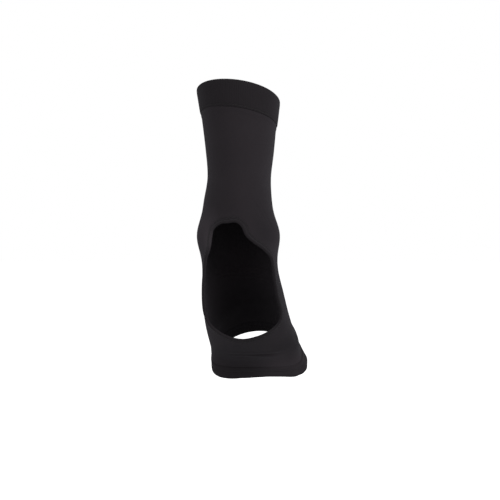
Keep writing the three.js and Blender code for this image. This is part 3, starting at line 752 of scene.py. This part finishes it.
# Its stitches. One row of near-black thread sinks into the furrow, and a zigzag row beside the strip
# catches its lap to the knit. Each stitch is a short arc of thread, set along its row by one tree.
def stitch_tree():
    tree = bpy.data.node_groups.new("stitch_row", "GeometryNodeTree")
    new_socket = tree.interface.new_socket
    new_socket("Row", in_out="INPUT", socket_type="NodeSocketGeometry")
    for label in ("Stitch Pitch", "Stitch Length", "Thread Radius", "Thread Rise"):
        new_socket(label, in_out="INPUT", socket_type="NodeSocketFloat")
    for label in ("Zigzag", "Unevenness"):  # in radians
        new_socket(label, in_out="INPUT", socket_type="NodeSocketFloat")
    new_socket("Seed", in_out="INPUT", socket_type="NodeSocketInt")
    new_socket("Thread", in_out="INPUT", socket_type="NodeSocketMaterial")
    new_socket("Stitches", in_out="OUTPUT", socket_type="NodeSocketGeometry")
    nodes, links = tree.nodes, tree.links
    given = nodes.new("NodeGroupInput").outputs

    def scalar(operation, first, second):
        node = nodes.new("ShaderNodeMath")
        node.operation = operation
        for socket, value in zip(node.inputs, (first, second)):
            if isinstance(value, (int, float)):
                socket.default_value = value
            else:
                links.new(value, socket)
        return node.outputs[0]

    def vector(x=None, z=None):
        node = nodes.new("ShaderNodeCombineXYZ")
        for axis, value in (("X", x), ("Z", z)):
            if value is not None:
                links.new(value, node.inputs[axis])
        return node.outputs[0]

    sunk = scalar("MULTIPLY", given["Thread Radius"], -1.0)
    arc = nodes.new("GeometryNodeCurveQuadraticBezier")
    arc.inputs["Resolution"].default_value = 6
    links.new(vector(scalar("MULTIPLY", given["Stitch Length"], -0.5), sunk), arc.inputs["Start"])
    links.new(vector(z=scalar("MULTIPLY", given["Thread Rise"], 2.0)), arc.inputs["Middle"])
    links.new(vector(scalar("MULTIPLY", given["Stitch Length"], 0.5), sunk), arc.inputs["End"])
    ring = nodes.new("GeometryNodeCurvePrimitiveCircle")
    ring.inputs["Resolution"].default_value = 6
    links.new(given["Thread Radius"], ring.inputs["Radius"])
    stitch = nodes.new("GeometryNodeCurveToMesh")
    stitch.inputs["Fill Caps"].default_value = True
    links.new(arc.outputs["Curve"], stitch.inputs["Curve"])
    links.new(ring.outputs["Curve"], stitch.inputs["Profile Curve"])

    row = nodes.new("GeometryNodeMeshToCurve")
    links.new(given["Row"], row.inputs["Mesh"])
    spaced = nodes.new("GeometryNodeResampleCurve")
    spaced.mode = "LENGTH"
    links.new(row.outputs["Curve"], spaced.inputs["Curve"])
    links.new(given["Stitch Pitch"], spaced.inputs["Length"])

    outward = nodes.new("GeometryNodeInputNamedAttribute")
    outward.data_type = "FLOAT_VECTOR"
    outward.inputs["Name"].default_value = "outward"
    facing = nodes.new("FunctionNodeAxesToRotation")
    facing.primary_axis, facing.secondary_axis = "Z", "X"
    links.new(outward.outputs["Attribute"], facing.inputs["Primary Axis"])
    links.new(nodes.new("GeometryNodeInputTangent").outputs["Tangent"], facing.inputs["Secondary Axis"])
    odd = scalar("MODULO", nodes.new("GeometryNodeInputIndex").outputs["Index"], 2.0)
    swing = scalar("MULTIPLY", scalar("SUBTRACT", scalar("MULTIPLY", odd, 2.0), 1.0), given["Zigzag"])
    chance = nodes.new("FunctionNodeRandomValue")
    chance.data_type = "FLOAT"
    chance.inputs["Min"].default_value = -1.0
    links.new(given["Seed"], chance.inputs["Seed"])
    stray = scalar("MULTIPLY", chance.outputs["Value"], given["Unevenness"])
    turn = nodes.new("FunctionNodeAxisAngleToRotation")
    turn.inputs["Axis"].default_value = (0.0, 0.0, 1.0)
    links.new(scalar("ADD", swing, stray), turn.inputs["Angle"])
    turned = nodes.new("FunctionNodeRotateRotation")
    turned.rotation_space = "LOCAL"
    links.new(facing.outputs["Rotation"], turned.inputs["Rotation"])
    links.new(turn.outputs["Rotation"], turned.inputs["Rotate By"])

    sewn = nodes.new("GeometryNodeInstanceOnPoints")
    links.new(spaced.outputs["Curve"], sewn.inputs["Points"])
    links.new(stitch.outputs["Mesh"], sewn.inputs["Instance"])
    links.new(turned.outputs["Rotation"], sewn.inputs["Rotation"])
    real = nodes.new("GeometryNodeRealizeInstances")
    links.new(sewn.outputs["Instances"], real.inputs["Geometry"])
    smooth = nodes.new("GeometryNodeSetShadeSmooth")
    links.new(real.outputs["Geometry"], smooth.inputs["Geometry"])
    coloured = nodes.new("GeometryNodeSetMaterial")
    links.new(smooth.outputs["Geometry"], coloured.inputs["Geometry"])
    links.new(given["Thread"], coloured.inputs["Material"])
    links.new(coloured.outputs["Geometry"], nodes.new("NodeGroupOutput").inputs["Stitches"])
    return tree


def sewn_rows(name, rows, slot, **settings):
    """Stitches along closed rows on the cloth; each row gives along, around and height."""
    points, facings, edges = [], [], []
    for along, around, height in rows:
        start, count = sum(map(len, points)), len(along)
        points.append(lifted(along, around, height))
        facings.append(on_grid(cloth_outwards, along, around))
        edges += [(start + i, start + (i + 1) % count) for i in range(count)]
    mesh = bpy.data.meshes.new(name)
    mesh.from_pydata(np.vstack(points).tolist(), edges, [])
    facing = mesh.attributes.new("outward", "FLOAT_VECTOR", "POINT")
    facing.data.foreach_set("vector", np.vstack(facings).reshape(-1))
    piece = bpy.data.objects.new(name, mesh)
    bpy.context.collection.objects.link(piece)
    sewing = piece.modifiers.new("sewing", "NODES")
    sewing.node_group = stitches
    for socket in stitches.interface.items_tree:
        if socket.in_out == "INPUT" and socket.name in settings:
            sewing[socket.identifier] = settings[socket.name]
    evaluated = piece.evaluated_get(bpy.context.evaluated_depsgraph_get())
    plain = bpy.data.meshes.new_from_object(evaluated)
    piece.modifiers.remove(sewing)
    piece.data = plain
    plain.name = name
    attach(piece, "root")
    return piece


def thread_material():
    material = bpy.data.materials.new("thread_black")
    material.use_nodes = True
    nodes, links = material.node_tree.nodes, material.node_tree.links
    shader = nodes["Principled BSDF"]
    shader.inputs["Roughness"].default_value = 0.55
    shader.inputs["Specular IOR Level"].default_value = 0.3
    twist = nodes.new("ShaderNodeTexNoise")
    twist.inputs["Scale"].default_value = 900.0
    links.new(nodes.new("ShaderNodeTexCoord").outputs["Object"], twist.inputs["Vector"])
    shades = nodes.new("ShaderNodeValToRGB")
    shades.color_ramp.elements[0].color = (0.005, 0.0045, 0.005, 1.0)
    shades.color_ramp.elements[1].color = (0.014, 0.0125, 0.014, 1.0)
    links.new(twist.outputs["Fac"], shades.inputs["Fac"])
    links.new(shades.outputs["Color"], shader.inputs["Base Color"])
    strands = nodes.new("ShaderNodeBump")
    strands.inputs["Distance"].default_value = 0.05 * MM
    links.new(twist.outputs["Fac"], strands.inputs["Height"])
    links.new(strands.outputs["Normal"], shader.inputs["Normal"])
    return material


stitches = stitch_tree()
thread_black = thread_material()
RUNNING_STITCH = {
    "Stitch Pitch": 2.2 * MM, "Stitch Length": 1.7 * MM, "Thread Radius": 0.2 * MM,
    "Thread Rise": 0.22 * MM, "Zigzag": 0.0, "Unevenness": 0.05, "Thread": thread_black,
}
ZIGZAG_STITCH = {
    "Stitch Pitch": 1.5 * MM, "Stitch Length": 2.0 * MM, "Thread Radius": 0.16 * MM,
    "Thread Rise": 0.2 * MM, "Zigzag": 0.75, "Unevenness": 0.08, "Thread": thread_black,
}
FURROW_ROW_HEIGHT = 1.8 * MM
LAP_ROW_AT = 0.5 * MM  # outwards of the strip
LAP_ROW_HEIGHT = KNIT_WALL + 0.05 * MM
furrow_row = (*beside_opening(BINDING_FURROW), FURROW_ROW_HEIGHT)
lap_row = (*beside_opening(BINDING_WIDTH + LAP_ROW_AT), LAP_ROW_HEIGHT)
binding_stitches = sewn_rows(
    "binding_stitches", [furrow_row], "binding", **RUNNING_STITCH | {"Unevenness": 0.06, "Seed": 3}
)
lap_stitches = sewn_rows("lap_stitches", [lap_row], "binding", **ZIGZAG_STITCH | {"Seed": 5})

# The top cuff. A dense elastic band, 2.4 mm thick, folded over at the top and sewn to the knit's
# upper edge with one row of stitches. It stands a little proud of the knit.
BAND_COLUMNS = 420


def band(name, corners, start, spacing):
    """A band round the tube with the section that the corners give, from start down."""
    outline = smooth_loop(corners, spacing)
    along = np.repeat(start + outline[:, :1], BAND_COLUMNS, axis=1)
    around = np.repeat(np.arange(BAND_COLUMNS)[None, :] / BAND_COLUMNS, len(outline), axis=0)
    height = np.repeat(outline[:, 1:], BAND_COLUMNS, axis=1)
    return swept_trim(name, along, around, height, loop_length(outline), GIRTH)


CUFF_WALL = 2.4 * MM
CUFF_FACETS = 0.55 * MM
CUFF_SEAM = 21.4 * MM
CUFF_SECTION = [
    Corner(0.0, 1.2 * MM),
    Corner(0.4 * MM, 2.1 * MM),
    Corner(2.0 * MM, CUFF_WALL),
    Corner(8.0 * MM, CUFF_WALL + 0.1 * MM),
    Corner(14.0 * MM, CUFF_WALL + 0.1 * MM),
    Corner(20.0 * MM, CUFF_WALL),
    Corner(CUFF_SEAM, CUFF_WALL - 0.3 * MM),
    Corner(22.5 * MM, CUFF_WALL - 0.1 * MM),
    Corner(CUFF_HEIGHT, 1.5 * MM),
    Corner(22.8 * MM, 0.1 * MM),
    Corner(12.0 * MM, 0.0),
    Corner(0.7 * MM, 0.1 * MM),
]
cuff_black = knit_material(
    "cuff_black", (0.013, 0.0111, 0.0125),
    wale=1.3 * MM, relief=0.16 * MM, fade=0.2, sheen=0.04, roughness=0.82,
)
cuff = band("cuff", CUFF_SECTION, 0.0, CUFF_FACETS)
cuff.data.materials.append(cuff_black)
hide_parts("top_cuff")
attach(cuff, "root")


def level_row(along, height, count=600):
    return np.full(count, along), np.arange(count) / count, height


cuff_row = level_row(CUFF_SEAM, CUFF_WALL - 0.25 * MM)
cuff_stitches = sewn_rows("cuff_stitches", [cuff_row], "cuff", **RUNNING_STITCH | {"Seed": 7})

# The toe hem. The knit's lower edge, turned in on itself and sewn down with two rows of stitches,
# so it is thicker than the tube and rolls over at the toe edge.
HEM_WALL = 2.2 * MM
HEM_FACETS = 0.5 * MM
SeamRow = namedtuple("SeamRow", "down furrow thread")
HEM_ROWS = [
    SeamRow(1.0 * MM, 1.25 * MM, 1.3 * MM),
    SeamRow(6.4 * MM, 1.95 * MM, 2.0 * MM),
]
HEM_SECTION = [
    Corner(0.0, 0.8 * MM),
    Corner(0.3 * MM, 1.1 * MM),
    Corner(HEM_ROWS[0].down, HEM_ROWS[0].furrow),
    Corner(2.3 * MM, HEM_WALL - 0.1 * MM),
    Corner(4.4 * MM, HEM_WALL),
    Corner(HEM_ROWS[1].down, HEM_ROWS[1].furrow),
    Corner(8.4 * MM, HEM_WALL + 0.1 * MM),
    Corner(HEM_WIDTH - 0.8 * MM, HEM_WALL + 0.1 * MM),
    Corner(HEM_WIDTH + 0.1 * MM, 1.9 * MM),
    Corner(HEM_WIDTH + 0.3 * MM, 1.1 * MM),
    Corner(HEM_WIDTH - 0.3 * MM, 0.1 * MM),
    Corner(6.0 * MM, 0.0),
    Corner(0.6 * MM, 0.1 * MM),
]
hem = band("hem", HEM_SECTION, TUBE_LENGTH - HEM_WIDTH, HEM_FACETS)
hem_black = knit_material(
    "hem_black", (0.0128, 0.0108, 0.0123),
    wale=0.8 * MM, relief=0.12 * MM, fade=0.25, sheen=0.05, roughness=0.85,
)
hem.data.materials.append(hem_black)
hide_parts("toe_hem")
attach(hem, "root")
hem_rows = [level_row(TUBE_LENGTH - HEM_WIDTH + row.down, row.thread) for row in HEM_ROWS]
hem_stitches = sewn_rows("hem_stitches", hem_rows, "hem", **RUNNING_STITCH | {"Seed": 11})
